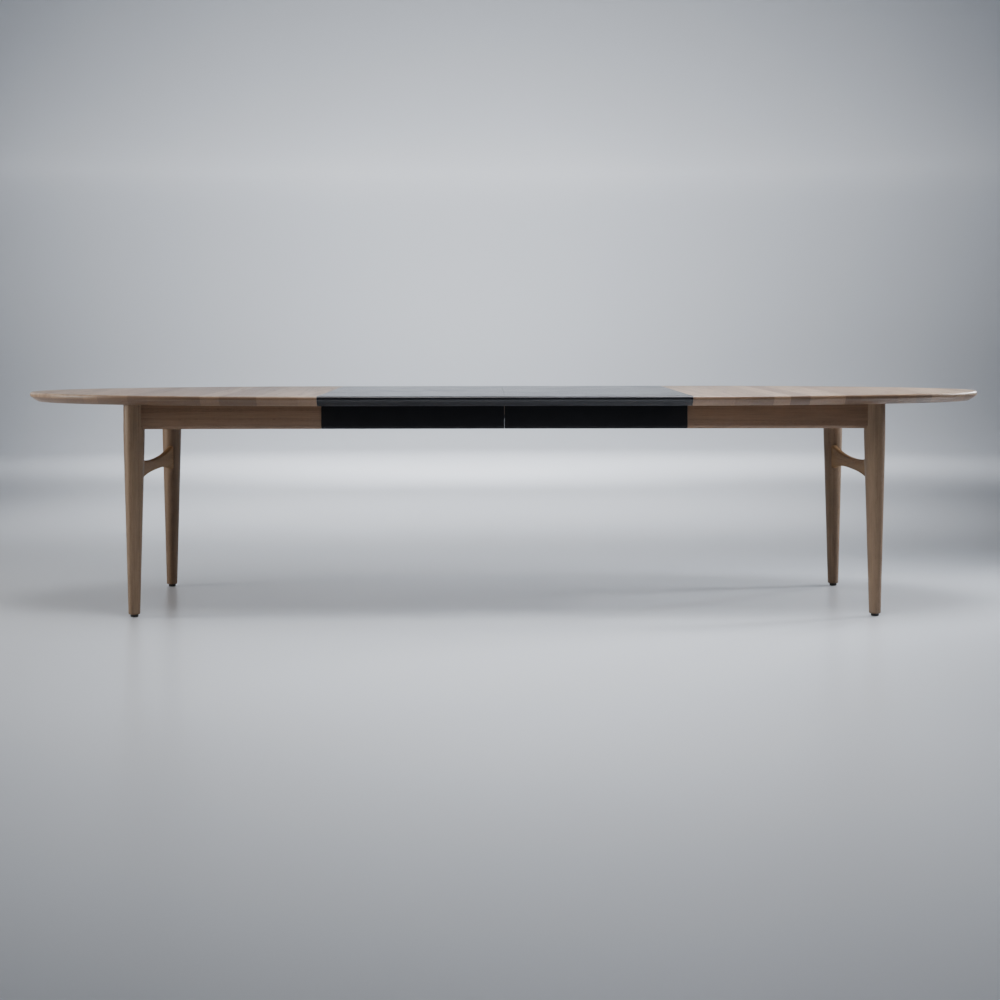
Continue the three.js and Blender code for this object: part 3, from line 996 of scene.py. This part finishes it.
def addStudio():
    given = studioSettings
    profile = [(0.0, 0.0), (given["floorRadius"], 0.0)]
    for k in range(1, given["coveSteps"] + 1):
        turn = math.pi / 2 * k / given["coveSteps"]
        outward = given["floorRadius"] + given["coveRadius"] * math.sin(turn)
        profile.append((outward, given["coveRadius"] * (1 - math.cos(turn))))
    profile.append((profile[-1][0], given["wallHeight"]))
    mesh = turnedMesh("studioFloor", profile, 0, 0, given["around"])
    floor = addPiece("studio_floor", mesh, floorMaterial(), 60)
    floor.location.z = -given["floorGap"]

    world = bpy.data.worlds.new("studioWorld")
    world.use_nodes = True
    background = world.node_tree.nodes["Background"]
    background.inputs["Color"].default_value = (*given["world"], 1)
    background.inputs["Strength"].default_value = given["worldStrength"]
    bpy.context.scene.world = world


# Area lights: power in watts, spread in degrees. A light that is glossOnly shows only in reflections.
lightSettings = {
    "softBox": {
        "place": (0.25, -1.45, 3.1), "aim": (0.25, -1.3, 0.0), "size": (2.0, 1.1),
        "power": 38, "spread": 92,
    },
    "frontFloor": {
        "place": (0.1, -3.7, 2.8), "aim": (0.1, -3.6, 0.0), "size": (2.4, 0.8),
        "power": 6.5, "spread": 90,
    },
    "floorCentre": {
        "place": (0.05, -2.5, 2.6), "aim": (0.05, -2.4, 0.0), "size": (0.8, 0.8),
        "power": 2.0, "spread": 66,
    },
    "overRear": {
        "place": (-0.3, 1.0, 3.2), "aim": (-0.3, 0.8, 0.0), "size": (2.6, 1.2),
        "power": 8.5, "spread": 104,
    },
    "overRight": {
        "place": (1.25, 0.0, 2.7), "aim": (1.25, 0.1, 0.0), "size": (1.3, 0.9),
        "power": 11.5, "spread": 70, "colour": (0.95, 0.97, 1.0),
    },
    "overLeft": {
        "place": (-1.2, -0.2, 2.7), "aim": (-1.2, -0.1, 0.0), "size": (1.0, 0.8),
        "power": 5.0, "spread": 84,
    },
    "backdrop": {
        "place": (-0.2, 3.6, 1.6), "aim": (-0.2, 11.0, 0.8), "size": (2.4, 1.0),
        "power": 180, "spread": 90,
    },
    "farFloor": {
        "place": (-0.15, 3.5, 2.5), "aim": (-0.15, 3.6, 0.0), "size": (4.2, 3.0),
        "power": 76, "spread": 80,
    },
    "farthestFloor": {
        "place": (0.1, 6.6, 2.6), "aim": (0.1, 6.9, 0.0), "size": (6.2, 2.4),
        "power": 112, "spread": 90,
    },
    "rightRear": {
        "place": (3.4, 2.2, 1.5), "aim": (1.4, 0.1, 0.7), "size": (0.25, 0.7),
        "power": 7, "spread": 60, "colour": (0.90, 0.95, 1.0),
    },
    "leftRear": {"place": (-3.6, 2.6, 1.7), "aim": (-1.0, 0.0, 0.7), "size": (0.8, 1.6), "power": 9},
    "leftSide": {
        "place": (-4.4, -0.6, 1.3), "aim": (-1.2, 0.0, 0.5), "size": (0.8, 1.8),
        "power": 88, "colour": (1.0, 0.95, 0.87),
    },
    "rightSide": {"place": (4.2, -0.8, 1.3), "aim": (1.2, 0.0, 0.4), "size": (0.8, 1.8), "power": 4},
    "underRight": {
        "place": (4.0, 0.9, 1.5), "aim": (0.9, -0.1, 0.0), "size": (0.6, 0.6),
        "power": 6.5, "spread": 38,
    },
    "rightTop": {
        "place": (0.75, -0.75, 2.6), "aim": (0.75, -0.55, 0.7), "size": (1.2, 0.25),
        "power": 34, "colour": (0.72, 0.75, 1.0), "glossOnly": True,
    },
}


def addLights():
    for name, given in lightSettings.items():
        data = bpy.data.lights.new(name, "AREA")
        data.shape = "RECTANGLE"
        data.size, data.size_y = given["size"]
        data.energy = given["power"]
        data.color = given.get("colour", (1.0, 1.0, 1.0))
        data.spread = math.radians(given.get("spread", 180))
        light = bpy.data.objects.new(name, data)
        light.location = given["place"]
        direction = Vector(given["aim"]) - Vector(given["place"])
        light.rotation_euler = direction.to_track_quat("-Z", "Y").to_euler()
        light.visible_camera = False
        light.visible_diffuse = not given.get("glossOnly", False)
        bpy.context.collection.objects.link(light)


addStudio()
addLights()
print("studio lit")
